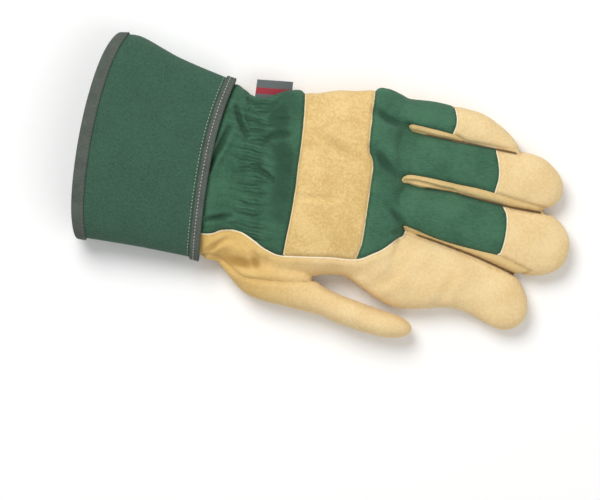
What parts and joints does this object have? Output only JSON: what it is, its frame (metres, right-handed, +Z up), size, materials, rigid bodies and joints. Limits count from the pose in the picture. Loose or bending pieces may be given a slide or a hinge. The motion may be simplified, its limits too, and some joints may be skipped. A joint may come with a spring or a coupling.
{
  "type": "fleece lined leather palm glove",
  "caption": "Left-hand work glove, palm down: leather palm, thumb, first finger, knuckle strap and fingertips, green cloth back, flared bound cuff and fleece lining.",
  "frame": {"origin": "middle of the glove's box on the surface that it lies on", "axes": "+X to the fingertips, +Y to the little finger's side, +Z up, out of the back of the hand"},
  "size_m": [0.2712, 0.1356, 0.039],
  "materials": {
    "leather": "soft split leather with a short nap, pale gold",
    "strap_leather": "rough split leather, mottled gold, a little darker than the fingers",
    "back_cloth": "dark green cotton drill with fine ribs along the fingers",
    "cuff_cloth": "dark green plain cotton, stiffened and flat",
    "binding_tape": "charcoal woven tape",
    "label_cloth": "charcoal woven tab with one red stripe"
  },
  "bodies": {
    "root": {"cuff": "cuff_cloth", "cuff_binding": "binding_tape", "wrist_tape": "binding_tape", "wrist_back": "back_cloth", "hand_back": "back_cloth", "knuckle_strap": "strap_leather", "little_fingertip": "leather", "ring_fingertip": "leather", "middle_fingertip": "leather", "little_ring_fourchette": "leather", "ring_middle_fourchette": "leather", "middle_index_fourchette": "leather", "thumb": "leather", "palm": "leather", "little_finger_front": "leather", "ring_finger_front": "leather", "middle_finger_front": "leather", "first_finger": "leather", "side_label": "label_cloth"}
  },
  "joints": []
}
